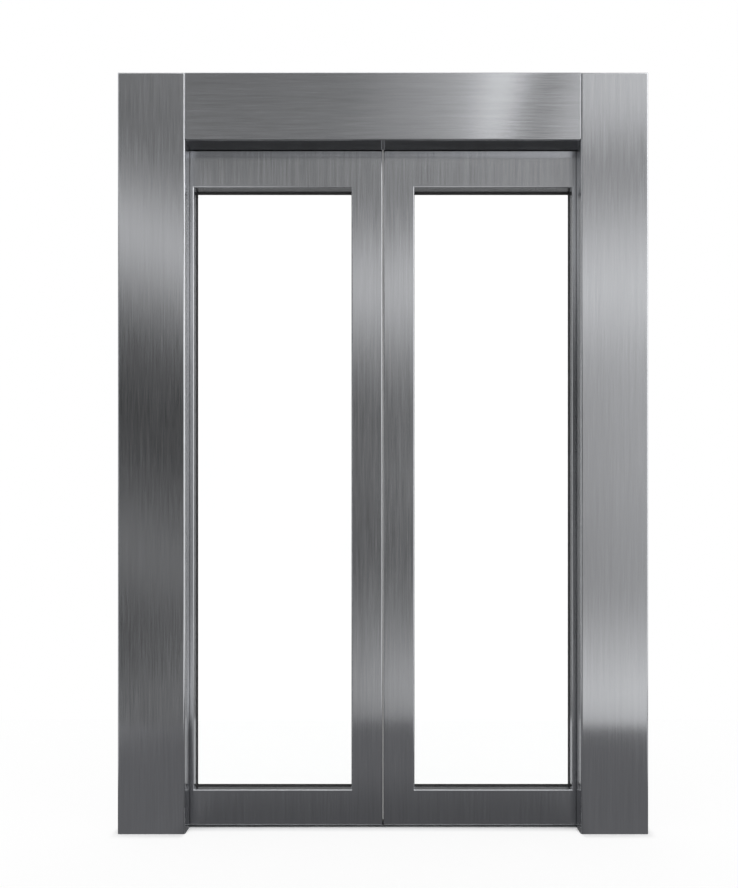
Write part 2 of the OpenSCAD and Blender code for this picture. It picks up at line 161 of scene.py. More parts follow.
# %% The finish: one node tree
class Finish:
    """A node tree that is filled node by node."""

    def __init__(self, owner):
        owner.use_nodes = True
        self.owner = owner
        self.tree = owner.node_tree
        self.tree.nodes.clear()

    def node(self, kind, settings=None, sockets=None, out=0):
        """Adds a node: its settings first, then its sockets' values or links."""
        node = self.tree.nodes.new(kind)
        for key, value in (settings or {}).items():
            if key == "stops":
                self.set_stops(node.color_ramp, value)
            else:
                setattr(node, key, value)
        for key, value in (sockets or {}).items():
            if isinstance(value, Value):
                self.tree.links.new(value.socket, node.inputs[key])
            else:
                node.inputs[key].default_value = value
        return Value(self, node.outputs[out]) if len(node.outputs) else None

    def set_stops(self, ramp, stops):
        """Gives a ramp its stops: pairs of a place and a grey or a colour."""
        while len(ramp.elements) > 1:
            ramp.elements.remove(ramp.elements[-1])
        for index, (place, tone) in enumerate(stops):
            stop = ramp.elements[0] if index == 0 else ramp.elements.new(place)
            stop.position = place
            stop.color = (tone, tone, tone, 1) if isinstance(tone, float) else (*tone, 1)

    def place(self, scale):
        """The point on the object, stretched by a scale for each axis, in metres."""
        here = self.node("ShaderNodeTexCoord", out="Object")
        return self.node("ShaderNodeMapping", sockets={"Vector": here, "Scale": scale})

    def noise(self, scale, detail=2.0, rough=0.5):
        sockets = {"Vector": self.place(scale), "Scale": 1.0, "Detail": detail, "Roughness": rough}
        return self.node("ShaderNodeTexNoise", sockets=sockets)

    def mix(self, factor, first, second):
        """A colour between two colours."""
        sockets = {"Factor": factor, 6: (*first, 1) if isinstance(first, tuple) else first,
                   7: (*second, 1) if isinstance(second, tuple) else second}
        return self.node("ShaderNodeMix", {"data_type": "RGBA"}, sockets, out=2)

    def bump(self, height, strength, depth):
        sockets = {"Height": height, "Strength": strength, "Distance": depth}
        return self.node("ShaderNodeBump", sockets=sockets)

    def surface(self, sockets):
        shader = self.node("ShaderNodeBsdfPrincipled", sockets=sockets)
        self.node("ShaderNodeOutputMaterial", sockets={"Surface": shader})
        return self.owner


def new_finish(name):
    return Finish(bpy.data.materials.new(name))


# %% [markdown]
# ## Brushed stainless steel
# The mill draws an abrasive belt along the sheet. It leaves fine scratches all in one direction,
# so a reflection smears across the grain and stays crisp along it. Three things make that look:
# an anisotropic lobe, streaks that are hundreds of times longer than wide, and a slow cloudiness
# where the belt bit more or less. An image of scratches would repeat over a panel this tall, so
# the streaks come from noise that is squeezed across the grain.

# %% Brushed steel in either direction
def brushed_steel(name, grain, smoothness, contrast, tone=(0.60, 0.61, 0.632)):
    """Stainless sheet brushed along "z" (upright) or "x" (level)."""
    finish = new_finish(name)

    def streaks(across, along):
        return (along, across, across) if grain == "x" else (across, across, along)

    fine = finish.noise(streaks(1100.0, 9.0), detail=2.0, rough=0.7)
    band = finish.noise(streaks(300.0, 6.5), detail=3.0, rough=0.7)
    broad = finish.noise(streaks(90.0, 1.6), detail=2.0)
    cloud = finish.noise((2.2, 2.2, 2.2), detail=1.0)
    dark = tuple((1 - contrast) * part for part in tone)
    pale = tuple((1 + contrast) * part for part in tone)
    grain_tone = fine * 0.22 + band * 0.58 + broad * 0.20
    return finish.surface({
        "Base Color": finish.mix(grain_tone, dark, pale),
        "Metallic": 1.0,
        "Roughness": smoothness + fine * 0.06 + band * 0.13 + cloud * 0.02,
        "Anisotropic": 0.92,
        "Anisotropic Rotation": 0.25 if grain == "x" else 0.0,
        "Normal": finish.bump(band * 0.6 + fine * 0.4, 0.10, 0.0004),
    })


upright_steel = brushed_steel("brushed_steel_upright", "z", 0.08, 0.27)
level_steel = brushed_steel("brushed_steel_level", "x", 0.02, 0.34)
print("steel finishes", upright_steel.name, level_steel.name)

# %% [markdown]
# ## Galvanised steel
# Hidden brackets, the track beam and the leaves' back plates are hot-dip galvanised. Zinc freezes
# in flat crystals, called spangle, each a slightly different grey. Voronoi cells are just such
# patches, and a second, finer noise dulls them as handling does.

# %% Galvanised sheet
def galvanised_steel(name, spangle):
    """Zinc-coated sheet with crystals about 1/spangle metres across."""
    finish = new_finish(name)
    cells = finish.node("ShaderNodeTexVoronoi",
                        sockets={"Vector": finish.place((1, 1, 1)), "Scale": spangle}, out="Color")
    crystal = finish.node("ShaderNodeSeparateColor", sockets={"Color": cells}, out=0)
    haze = finish.noise((35.0, 35.0, 35.0), detail=4.0, rough=0.6)
    patch = crystal * 0.6 + haze * 0.4
    return finish.surface({
        "Base Color": finish.mix(patch, (0.42, 0.44, 0.46), (0.66, 0.68, 0.70)),
        "Metallic": 0.85,
        "Roughness": 0.38 + haze * 0.18,
        "Normal": finish.bump(haze, 0.12, 0.0008),
    })


galvanised = galvanised_steel("galvanised_sheet", 70.0)
zinc_fastener = galvanised_steel("bright_zinc", 400.0)
print("zinc finishes", galvanised.name, zinc_fastener.name)

# %% [markdown]
# ## Drawn rail, aluminium sill and wire rope
# The rail is cold drawn bar, darker and polished along its length by the rollers. The sill is an
# aluminium extrusion with fine die lines along it. Both use the same idea: noise squeezed across
# X. The rope is twisted from strands, which a band pattern set at an angle draws.

# %% Metals drawn along X
def drawn_metal(name, dark, pale, roughness):
    finish = new_finish(name)
    lines = finish.noise((4.0, 700.0, 700.0), detail=3.0, rough=0.6)
    stain = finish.noise((14.0, 30.0, 30.0), detail=3.0)
    return finish.surface({
        "Base Color": finish.mix(lines * 0.6 + stain * 0.4, dark, pale),
        "Metallic": 1.0,
        "Roughness": roughness + lines * 0.08 + stain * 0.10,
        "Anisotropic": 0.6,
        "Anisotropic Rotation": 0.25,
        "Normal": finish.bump(lines, 0.15, 0.0003),
    })


rail_steel = drawn_metal("drawn_rail_steel", (0.30, 0.305, 0.31), (0.50, 0.505, 0.51), 0.24)
sill_aluminium = drawn_metal("extruded_aluminium", (0.62, 0.63, 0.64), (0.80, 0.81, 0.82), 0.30)
print("drawn finishes", rail_steel.name, sill_aluminium.name)


# %% [markdown]
# ## Wire rope
# Seen close, a rope is a row of slanting strands with dark gaps, which are painted shade between
# the strands. A diagonal wave gives both the colour and the bump, which is enough for a rope that
# is only a few millimetres thick.

# %% Stranded wire
def stranded_wire(name):
    finish = new_finish(name)
    twist = finish.node("ShaderNodeTexWave", {"bands_direction": "DIAGONAL"},
                        {"Vector": finish.place((300.0, 0.0, 300.0)), "Scale": 1.0}, out=1)
    return finish.surface({
        # The dark end of this colour is painted shade in the gaps between the strands.
        "Base Color": finish.mix(twist, (0.16, 0.16, 0.165), (0.52, 0.53, 0.54)),
        "Metallic": 0.9,
        "Roughness": 0.36 + twist * 0.12,
        "Normal": finish.bump(twist, 0.5, 0.0005),
    })


wire = stranded_wire("stranded_wire")
print("rope finish", wire.name)

# %% [markdown]
# ## Glass, rubber and nylon
# Laminated glass is nearly colourless, with a breath of green, and its two panes are never quite
# flat, so a very shallow bump bends what it mirrors. Rubber is a dusty black that never reaches
# zero. Nylon wheels and shoes are ivory, and pick up grey from the steel that they run on.

# %% Laminated glass
def laminated_glass(name):
    finish = new_finish(name)
    wave = finish.noise((5.0, 5.0, 3.0), detail=1.0)
    tint = finish.mix(wave, (0.988, 0.997, 0.993), (0.996, 1.0, 0.998))
    return finish.surface({
        "Base Color": tint,
        "Roughness": 0.004 + wave * 0.004,
        "IOR": 1.5,
        "Transmission Weight": 1.0,
        "Normal": finish.bump(wave, 0.02, 0.002),
    })


# %% [markdown]
# ## Moulded pieces
# Rubber and nylon share one recipe: a fine mottle from the mould and a slower pattern of wear,
# between a dark and a pale tone. Only the tones, the pitch and the gloss differ.

# %% Moulded rubber and nylon
def moulded(name, dark, pale, roughness, pitch):
    finish = new_finish(name)
    mottle = finish.noise((pitch, pitch, pitch), detail=4.0, rough=0.65)
    wear = finish.noise((pitch / 8, pitch / 8, pitch / 8), detail=2.0)
    return finish.surface({
        "Base Color": finish.mix(mottle * 0.5 + wear * 0.5, dark, pale),
        "Roughness": roughness + mottle * 0.12,
        "Normal": finish.bump(mottle, 0.15, 0.0003),
    })


clear_glass = laminated_glass("laminated_glass")
black_rubber = moulded("black_rubber", (0.012, 0.012, 0.013), (0.035, 0.035, 0.036), 0.55, 500.0)
ivory_nylon = moulded("ivory_nylon", (0.60, 0.58, 0.52), (0.80, 0.78, 0.71), 0.38, 220.0)
print("finishes made:", len(bpy.data.materials))

# %% [markdown]
# ## Small tools for folding sheet
# A sheet-metal worker starts from a flat blank and folds its edges up. The same order works here:
# a plane is the blank, its edges are extruded to make the flanges, the fold lines are bevelled
# to the bend radius, and only then does the sheet get its thickness, inwards from the face.


# %% Blank, pick, fold
def deselect_all():
    if bpy.context.object and bpy.context.object.mode != "OBJECT":
        bpy.ops.object.mode_set(mode="OBJECT")
    bpy.ops.object.select_all(action="DESELECT")


def make_active(piece):
    deselect_all()
    piece.select_set(True)
    bpy.context.view_layer.objects.active = piece


def named(piece, name):
    piece.name = name
    piece.data.name = name
    return piece


def upright_blank(name, low, high, y):
    """A flat sheet at depth y that faces the landing."""
    deselect_all()
    middle = (low + high) / 2
    bpy.ops.mesh.primitive_plane_add(size=1, location=(middle.x, y, middle.z),
                                     rotation=(math.pi / 2, 0, 0))
    blank = named(bpy.context.object, name)
    blank.scale = (high.x - low.x, high.z - low.z, 1)
    bpy.ops.object.transform_apply(location=True, rotation=True, scale=True)
    return blank


def close_to(value, place):
    return abs(value - place) < SAME_PLACE


def pick_edges(piece, test):
    """Leaves edit mode open with just the edges selected whose two ends pass the test."""
    make_active(piece)
    bpy.ops.object.mode_set(mode="EDIT")
    bpy.ops.mesh.select_mode(type="EDGE")
    bpy.ops.mesh.select_all(action="DESELECT")
    bpy.ops.object.mode_set(mode="OBJECT")
    points = [vertex.co for vertex in piece.data.vertices]
    picked = [edge for edge in piece.data.edges if all(test(points[i]) for i in edge.vertices)]
    for edge in picked:
        edge.select = True
    bpy.ops.object.mode_set(mode="EDIT")
    return len(picked)


def fold(*steps):
    """Extrudes the selected edges once for each step."""
    for step in steps:
        bpy.ops.mesh.extrude_region_move(TRANSFORM_OT_translate={"value": step})


def round_folds(piece, test, radius, segments=5):
    """Bevels the picked fold lines to the bend radius."""
    pick_edges(piece, test)
    bpy.ops.mesh.bevel(offset=radius, offset_type="OFFSET", segments=segments, profile=0.5)
    bpy.ops.object.mode_set(mode="OBJECT")


# %% [markdown]
# ## From folded faces to a finished sheet
# Flanges that meet are welded, the sheet gets its thickness inwards, and the cut edges are
# broken. Each piece then tells the frame which body it rides on and which parts it stands for.

# %% Weld, thicken, finish
def weld(piece):
    """Joins flanges that meet, and turns the faces the same way, out of the front."""
    make_active(piece)
    bpy.ops.object.mode_set(mode="EDIT")
    bpy.ops.mesh.select_all(action="SELECT")
    bpy.ops.mesh.remove_doubles(threshold=SAME_PLACE)
    bpy.ops.mesh.normals_make_consistent(inside=False)
    bpy.ops.object.mode_set(mode="OBJECT")
    front = min(piece.data.polygons, key=lambda face: (round(face.center.y, 5), -face.area))
    if front.normal.y > 0:
        piece.data.flip_normals()


def add_modifier(piece, kind, **settings):
    modifier = piece.modifiers.new(kind.lower(), kind)
    for key, value in settings.items():
        setattr(modifier, key, value)
    make_active(piece)
    bpy.ops.object.modifier_apply(modifier=modifier.name)


def smooth(piece, degrees=32):
    """Smooth shading that stays flat on flat sheet."""
    make_active(piece)
    bpy.ops.object.shade_smooth_by_angle(angle=math.radians(degrees))
    add_modifier(piece, "WEIGHTED_NORMAL", keep_sharp=True, weight=100)


def thicken(piece, thickness):
    """Gives the sheet its thickness inwards, and breaks its cut edges a little."""
    add_modifier(piece, "SOLIDIFY", thickness=thickness, offset=-1.0, use_even_offset=True)
    add_modifier(piece, "BEVEL", width=CUT_EDGE, segments=1, limit_method="ANGLE",
                 angle_limit=math.radians(60))
    smooth(piece)


def finish_piece(piece, material, body, slot, *nodes):
    """Paints a piece, and tells the frame what it rides on and stands for."""
    piece.data.materials.clear()
    piece.data.materials.append(material)
    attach(piece, body)
    if nodes:
        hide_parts(*nodes)
    count = len(piece.data.polygons)
    print(piece.name, count, "faces")


def mirrored(piece, name):
    """A left-hand copy with its own mesh."""
    make_active(piece)
    bpy.ops.object.duplicate()
    copy = named(bpy.context.object, name)
    copy.scale = (-1, 1, 1)
    bpy.ops.object.transform_apply(location=True, rotation=True, scale=True)
    bpy.ops.object.mode_set(mode="EDIT")
    bpy.ops.mesh.select_all(action="SELECT")
    bpy.ops.mesh.normals_make_consistent(inside=False)
    bpy.ops.object.mode_set(mode="OBJECT")
    smooth(copy)
    return copy


# %% [markdown]
# ## Portal jambs
# Each jamb is one sheet, folded five times: a broad face, a return into the doorway, a return
# to the wall, a narrow lip behind each, and a welded cap on top. Its long fold lines catch the
# light as thin bright lines, so they are real radii and not a trick of the shader.


# %% Fold the right jamb
def folded_jamb(name):
    low, high = jamb_low, jamb_high
    front, back = low.y, high.y
    depth = back - front
    inner_lip, outer_lip = 0.040, 0.025    # widths of the two rear lips
    sheet = upright_blank(name, low, high, front)
    pick_edges(sheet, lambda p: close_to(p.x, low.x))
    fold((0, depth, 0), (inner_lip, 0, 0))
    pick_edges(sheet, lambda p: close_to(p.x, high.x) and close_to(p.y, front))
    fold((0, depth, 0), (-outer_lip, 0, 0))
    pick_edges(sheet, lambda p: close_to(p.z, high.z) and close_to(p.y, front))
    fold((0, depth, 0))
    weld(sheet)
    round_folds(sheet, lambda p: close_to(p.y, front), PORTAL_FOLD)
    return sheet


right_jamb = folded_jamb("right_jamb_sheet")
thicken(right_jamb, SHEET)
left_jamb = mirrored(right_jamb, "left_jamb_sheet")
finish_piece(right_jamb, upright_steel, "frame", "portal_steel", "right_jamb")
finish_piece(left_jamb, upright_steel, "frame", "portal_steel", "left_jamb")

# %% [markdown]
# ## Header
# The header hangs between the jambs with a hair joint at each end. It is folded along its
# length, and its grain runs level, so it answers the light in another way than the jambs do.
# Its lower return is bent 4 mm past square and runs down towards the back. With a level return
# the top rails of the leaves would mirror its dark underside.


# %% Fold the header
def folded_header(name):
    low, high = header_low.copy(), header_high
    front, depth = low.y, high.y - low.y
    lip, end = 0.040, 0.012     # widths of the rear lips and of the end flanges
    overbend = 0.004            # how far the lower return runs down towards the back
    end_fold = 0.002            # outside radius of the folds at the two ends
    slack = 0.0001              # depth within which a point counts as on the face
    low.z += overbend
    sheet = upright_blank(name, low, high, front)
    for z, inward, lean in ((low.z, lip, -overbend), (high.z, -lip, 0)):
        pick_edges(sheet, lambda p: close_to(p.z, z) and close_to(p.y, front))
        fold((0, depth, lean), (0, 0, inward))
    for x in (low.x, high.x):
        pick_edges(sheet, lambda p: close_to(p.x, x) and close_to(p.y, front))
        fold((0, end, 0))
    weld(sheet)
    for z in (low.z, high.z):
        round_folds(sheet, lambda p: close_to(p.z, z) and close_to(p.y, front), FOLD)
    for x in (low.x, high.x):
        round_folds(sheet, lambda p: close_to(p.x, x) and p.y < front + slack, end_fold)
    return sheet


header = folded_header("header_sheet")
thicken(header, SHEET)
finish_piece(header, level_steel, "frame", "header_steel", "header_panel")

# %% [markdown]
# ## Leaf faces
# A leaf's face is one folded sheet too. The window is cut out of the blank, its edges are folded
# back to make the deep reveal, and a last small flange turns outwards to carry the glass. The
# outer edges fold back to the plate behind. Cutting the blank along four lines and lifting out
# the middle keeps every rail and stile a clean rectangle.


# %% Cut a window in a sheet
def cut_window(sheet, low, high, axis):
    """Splits a sheet along a rectangle's sides and takes the middle out. axis is "y" or "z"."""
    up = Vector((0, 0, 1)) if axis == "y" else Vector((0, 1, 0))
    make_active(sheet)
    bpy.ops.object.mode_set(mode="EDIT")
    side = Vector((1, 0, 0))
    for corner, normal in ((low, side), (high, side), (low, up), (high, up)):
        bpy.ops.mesh.select_all(action="SELECT")
        bpy.ops.mesh.bisect(plane_co=corner, plane_no=normal)
    bpy.ops.mesh.select_mode(type="FACE")
    bpy.ops.mesh.select_all(action="DESELECT")
    bpy.ops.object.mode_set(mode="OBJECT")
    for face in sheet.data.polygons:
        inside = low.x < face.center.x < high.x and low.dot(up) < face.center.dot(up) < high.dot(up)
        face.select = inside
    bpy.ops.object.mode_set(mode="EDIT")
    bpy.ops.mesh.delete(type="FACE")
    bpy.ops.object.mode_set(mode="OBJECT")


# %% [markdown]
# ## Folding a leaf
# The window's edges are drawn back to the depth of the gasket, and a second, empty extrusion is
# then spread outwards to make the flange. The outer border is folded back last. Its edges are
# found by the side of the sheet that they lie along.

# %% Fold the right leaf
def select_border(sheet, low, high, front):
    """Selects the edges that lie along the four outer sides of the face."""
    pick_edges(sheet, lambda p: False)
    bpy.ops.object.mode_set(mode="OBJECT")
    points = [vertex.co for vertex in sheet.data.vertices]
    for edge in sheet.data.edges:
        a, b = (points[i] for i in edge.vertices)
        flat = close_to(a.y, front) and close_to(b.y, front)
        along = any(close_to(a[axis], side[axis]) and close_to(b[axis], side[axis])
                    for axis in (0, 2) for side in (low, high))
        edge.select = flat and along
    bpy.ops.object.mode_set(mode="EDIT")


def folded_leaf(name):
    low, high = leaf_low, leaf_high
    front = low.y
    win_low, win_high = WINDOW_LOW, WINDOW_HIGH
    size = win_high - win_low
    middle = (win_low + win_high) / 2

    def on_window(p):
        on_side = close_to(p.x, win_low.x) or close_to(p.x, win_high.x)
        on_end = close_to(p.z, win_low.z) or close_to(p.z, win_high.z)
        in_x = win_low.x - SAME_PLACE < p.x < win_high.x + SAME_PLACE
        in_z = win_low.z - SAME_PLACE < p.z < win_high.z + SAME_PLACE
        return (on_side or on_end) and in_x and in_z and close_to(p.y, front)

    sheet = upright_blank(name, low, high, front)
    cut_window(sheet, win_low, win_high, "y")
    pick_edges(sheet, on_window)
    fold((0, gasket_low.y - front, 0), (0, 0, 0))
    wider = (size.x + 2 * REBATE) / size.x
    taller = (size.z + 2 * REBATE) / size.z
    bpy.ops.transform.resize(value=(wider, 1, taller),
                             center_override=(middle.x, gasket_low.y, middle.z))
    select_border(sheet, low, high, front)
    fold((0, high.y - front, 0))
    weld(sheet)
    round_folds(sheet, on_window, FOLD)
    select_border(sheet, low, high, front)
    bpy.ops.mesh.bevel(offset=FOLD, offset_type="OFFSET", segments=5, profile=0.5)
    bpy.ops.object.mode_set(mode="OBJECT")
    return sheet


right_leaf = folded_leaf("right_leaf_sheet")
thicken(right_leaf, SHEET)
left_leaf = mirrored(right_leaf, "left_leaf_sheet")
finish_piece(right_leaf, upright_steel, "right_leaf", "leaf_steel", "right_leaf_skin")
finish_piece(left_leaf, upright_steel, "left_leaf", "leaf_steel", "left_leaf_skin")

# %% [markdown]
# ## Glazing bead
# A black rubber bead lines the deep end of each window reveal and presses on the glass. From the
# front it is the thin dark line inside the bright steel edge. It is a ring cut from a sheet,
# drawn backwards, with a rounded lip so that it catches a thin line of light.


# %% Shape the bead
def glazing_bead(name, thickness=0.0018, depth=0.008):
    front = gasket_low.y - depth
    inset = Vector((thickness, 0, thickness))
    bead = upright_blank(name, WINDOW_LOW, WINDOW_HIGH, front)
    cut_window(bead, WINDOW_LOW + inset, WINDOW_HIGH - inset, "y")
    make_active(bead)
    bpy.ops.object.mode_set(mode="EDIT")
    bpy.ops.mesh.select_all(action="SELECT")
    fold((0, depth, 0))
    bpy.ops.mesh.select_all(action="SELECT")
    bpy.ops.mesh.normals_make_consistent(inside=False)
    bpy.ops.object.mode_set(mode="OBJECT")
    low, high = WINDOW_LOW + inset, WINDOW_HIGH - inset
    lip_radius = 0.001

    def on_lip(p):
        in_x = low.x - SAME_PLACE < p.x < high.x + SAME_PLACE
        in_z = low.z - SAME_PLACE < p.z < high.z + SAME_PLACE
        return close_to(p.y, front) and in_x and in_z

    round_folds(bead, on_lip, lip_radius, segments=3)
    smooth(bead)
    return bead


right_bead = glazing_bead("right_glazing_bead")
left_bead = mirrored(right_bead, "left_glazing_bead")
finish_piece(right_bead, black_rubber, "right_leaf", "rubber")
finish_piece(left_bead, black_rubber, "left_leaf", "rubber")

# %% [markdown]
# ## Pieces that keep their frame shape
# Glass, gaskets and seals are already right, so they only need their finish. Brackets, plates,
# rollers and the sill get one more thing that the eye expects: broken edges. A copy of the part
# is merged into one skin, its edges are bevelled by a hair, and the copy stands for the part.

# %% Paint the parts whose shape is finished
for side in SIDES:
    for part, material in (("glass", clear_glass), ("front_gasket", black_rubber),
                           ("rear_gasket", black_rubber), ("meeting_seal", black_rubber)):
        cad = frame["nodes"][f"{side}_{part}"]
        cad.data.materials.clear()
        cad.data.materials.append(material)
rope = frame["nodes"]["sync_rope"]
rope.data.materials.clear()
rope.data.materials.append(wire)
print("painted", 4 * len(SIDES) + 1, "parts")


# %% [markdown]
# ## Broken edges
# The parts come as loose triangles, in which no two faces share an edge that could be bevelled.
# So a copy is merged first, its flat faces are joined, and then its sharp edges are broken.

# %% Break the edges of the others
CAD_WELD = 0.000002       # corners of the loose triangles meet within this


def eased_copy(node, edge):
    """A merged copy of a part with its sharp edges bevelled by the given width."""
    cad = frame["nodes"][node]
    copy = bpy.data.objects.new(f"{node}_eased", cad.data.copy())
    bpy.context.scene.collection.objects.link(copy)
    make_active(copy)
    bpy.ops.object.mode_set(mode="EDIT")
    bpy.ops.mesh.select_all(action="SELECT")
    bpy.ops.mesh.remove_doubles(threshold=CAD_WELD)
    bpy.ops.mesh.dissolve_limited(angle_limit=math.radians(1))
    bpy.ops.object.mode_set(mode="OBJECT")
    add_modifier(copy, "BEVEL", width=edge, segments=2, limit_method="ANGLE",
                 angle_limit=math.radians(50))
    smooth(copy)
    return copy


EASED = {
    "track_beam": (galvanised, 0.0008), "track_rail": (rail_steel, 0.0006),
    "rail_spacers": (rail_steel, 0.0010), "centre_stop": (galvanised, 0.0006),
    "pulley_brackets": (galvanised, 0.0005), "sill_front": (sill_aluminium, 0.0003),
    "sill_groove": (sill_aluminium, 0.0003), "sill_rear": (sill_aluminium, 0.0003),
    "sill_brackets": (galvanised, 0.0008), "header_stiffener": (galvanised, 0.0004),
}
PAIRS = {
    "jamb_stiffener": (galvanised, 0.0004), "header_cleat": (galvanised, 0.0006),
    "wall_anchors": (galvanised, 0.0006), "jamb_foot": (galvanised, 0.0006),
    "end_stop": (galvanised, 0.0006), "pulley": (ivory_nylon, 0.0004),
    "leaf_back": (galvanised, 0.0008), "hanger": (galvanised, 0.0008),
    "rollers": (ivory_nylon, 0.0006), "guide_shoes": (ivory_nylon, 0.0008),
    "rope_clamp": (galvanised, 0.0008),
}
EASED.update({f"{side}_{part}": look for side in SIDES for part, look in PAIRS.items()})
bodies = {node: body for body, nodes in frame["record"]["behaviour"]["bodies"].items()
          for node in nodes}
slots = {part["node"]: part["material_slot"] for part in frame["record"]["subparts"]}
for node, (material, edge) in EASED.items():
    finish_piece(eased_copy(node, edge), material, bodies[node], slots[node], node)

# %% [markdown]
# ## Fasteners
# Screws and nuts are small, but a bracket with no fastener looks like a drawing. One hexagon
# head and one round head are modelled with their washer, and copies are laid where the real door
# is bolted. All copies on one body become one piece, which keeps the scene light.


# %% Model one head of each kind
def hex_head(name, flats, height):
    """A bolt head on a washer, pointing along +Y from the origin."""
    deselect_all()
    washer = 0.0012
    bpy.ops.mesh.primitive_cylinder_add(vertices=20, radius=flats * 0.62, depth=washer,
                                        location=(0, washer / 2, 0), rotation=(math.pi / 2, 0, 0))
    plate = bpy.context.object
    bpy.ops.object.transform_apply(location=True, rotation=True, scale=True)
    bpy.ops.mesh.primitive_cylinder_add(vertices=6, radius=flats / math.sqrt(3), depth=height,
                                        location=(0, washer + height / 2, 0),
                                        rotation=(math.pi / 2, 0, 0))
    head = named(bpy.context.object, name)
    bpy.ops.object.transform_apply(location=True, rotation=True, scale=True)
    plate.select_set(True)
    bpy.ops.object.join()
    add_modifier(head, "BEVEL", width=flats * 0.05, segments=1, limit_method="ANGLE",
                 angle_limit=math.radians(50))
    smooth(head, 40)
    return head


def pan_head(name, radius):
    """A low round screw head with a square socket, pointing along +Y from the origin."""
    deselect_all()
    height = radius * 0.55
    bpy.ops.mesh.primitive_cylinder_add(vertices=20, radius=radius, depth=height,
                                        location=(0, height / 2, 0), rotation=(math.pi / 2, 0, 0))
    head = named(bpy.context.object, name)
    bpy.ops.object.transform_apply(location=True, rotation=True, scale=True)
    bpy.ops.object.mode_set(mode="EDIT")
    bpy.ops.mesh.select_mode(type="FACE")
    bpy.ops.mesh.select_all(action="DESELECT")
    bpy.ops.object.mode_set(mode="OBJECT")
    for face in head.data.polygons:
        face.select = face.normal.y > 0.9
    bpy.ops.object.mode_set(mode="EDIT")
    bpy.ops.mesh.inset(thickness=radius * 0.28)
    bpy.ops.mesh.extrude_region_move(TRANSFORM_OT_translate={"value": (0, height * 0.18, 0)})
    bpy.ops.mesh.inset(thickness=radius * 0.32)
    bpy.ops.mesh.extrude_region_move(TRANSFORM_OT_translate={"value": (0, -height * 0.6, 0)})
    bpy.ops.object.mode_set(mode="OBJECT")
    smooth(head, 40)
    return head


# %% [markdown]
# ## Laying heads
# A master head is copied to each place, turned to face the right way, and the copies are joined.
# The masters are removed when the last head has been laid.

# %% Lay copies of a head
def lay_heads(master, name, points, turn=(0, 0, 0)):
    """One piece made of copies of a head, turned by the given angles and put at the points."""
    copies = []
    for point in points:
        make_active(master)
        bpy.ops.object.duplicate()
        copy = bpy.context.object
        copy.rotation_euler = turn
        copy.location = point
        bpy.ops.object.transform_apply(location=True, rotation=True, scale=True)
        copies.append(copy)
    deselect_all()
    for copy in copies:
        copy.select_set(True)
    bpy.context.view_layer.objects.active = copies[0]
    bpy.ops.object.join()
    return named(bpy.context.object, name)


def drop(*masters):
    for master in masters:
        bpy.data.objects.remove(master, do_unlink=True)


def spread(first, last, count):
    """Evenly spaced values from first to last."""
    return [first + (last - first) * i / (count - 1) for i in range(count)]


# %% [markdown]
# ## Hangers and rope clamps
# Each leaf hangs from two roller studs with an upthrust roller under each, so four nuts hold the
# studs. Bolts fix the hanger's foot to the leaf, and four screws pinch the rope in its clamp.

# %% Bolt the mechanism together
big_nut = hex_head("big_nut", 0.016, 0.0035)
small_bolt = hex_head("small_bolt", 0.012, 0.0030)
screw = pan_head("screw", 0.0045)
FACE_UP = (math.pi / 2, 0, 0)
roller_low, roller_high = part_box("right_rollers")
clamp_low, clamp_high = {}, {}
for side in SIDES:
    clamp_low[side], clamp_high[side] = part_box(f"{side}_rope_clamp")
pulley_low, pulley_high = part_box("right_pulley")
bracket_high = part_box("pulley_brackets")[1]

ROLLER_R, UPTHRUST_R = 0.025, 0.015
HANGER_BACK = 0.031       # the hanger plate's back face, from the front of the hanger's box
HANGER_FOOT = 0.005       # thickness of the hanger's foot on top of the leaf
FOOT_BOLTS = (0.052, 0.013)    # places of the foot's bolts, forward from the back plate's back
CLAMP_ACROSS, CLAMP_UP = (0.22, 0.78), (0.2, 0.8)    # shares of the clamp's width and height
stud_xs = (roller_low.x + ROLLER_R, roller_high.x - ROLLER_R)
stud_zs = (roller_high.z - ROLLER_R, roller_low.z + UPTHRUST_R)
foot_ys = [plate_high.y - place for place in FOOT_BOLTS]

for side, sign in SIDES.items():
    nuts = lay_heads(big_nut, f"{side}_stud_nuts",
                     [(sign * x, hanger_low.y + HANGER_BACK, z) for x in stud_xs for z in stud_zs])
    finish_piece(nuts, zinc_fastener, f"{side}_leaf", "galvanised")
    foot_top = leaf_high.z + HANGER_FOOT
    feet = lay_heads(small_bolt, f"{side}_hanger_bolts",
                     [(sign * x, y, foot_top) for x in stud_xs for y in foot_ys], FACE_UP)
    finish_piece(feet, zinc_fastener, f"{side}_leaf", "galvanised")
    low, high = clamp_low[side], clamp_high[side]
    pinch = lay_heads(screw, f"{side}_clamp_screws",
                      [(low.x + (high.x - low.x) * t, high.y, low.z + (high.z - low.z) * u)
                       for t in CLAMP_ACROSS for u in CLAMP_UP])
    finish_piece(pinch, zinc_fastener, f"{side}_leaf", "galvanised")

# %% [markdown]
# ## Back plates
# The plate behind each leaf is screwed on all the way round, close to its four outer sides.

# %% Screw the back plates on
SCREW_MARGIN = 0.014      # from a back plate's edge to the middle of its screws
for side, sign in SIDES.items():
    inner, outer = plate_low.x + SCREW_MARGIN, plate_high.x - SCREW_MARGIN
    bottom, top = plate_low.z + SCREW_MARGIN, plate_high.z - SCREW_MARGIN
    upright = [(x, z) for x in (inner, outer) for z in spread(bottom, top, 10)]
    level = [(x, z) for z in (bottom, top) for x in spread(inner, outer, 4)[1:-1]]
    heads = lay_heads(screw, f"{side}_plate_screws",
                      [(sign * x, plate_high.y, z) for x, z in upright + level])
    finish_piece(heads, zinc_fastener, f"{side}_leaf", "galvanised")

# %% [markdown]
# ## Track
# The beam is bolted to the portal at its ends and along the header. The rail is screwed through
# its spacers, two screws to each, and a nut holds each rope pulley on its bracket.

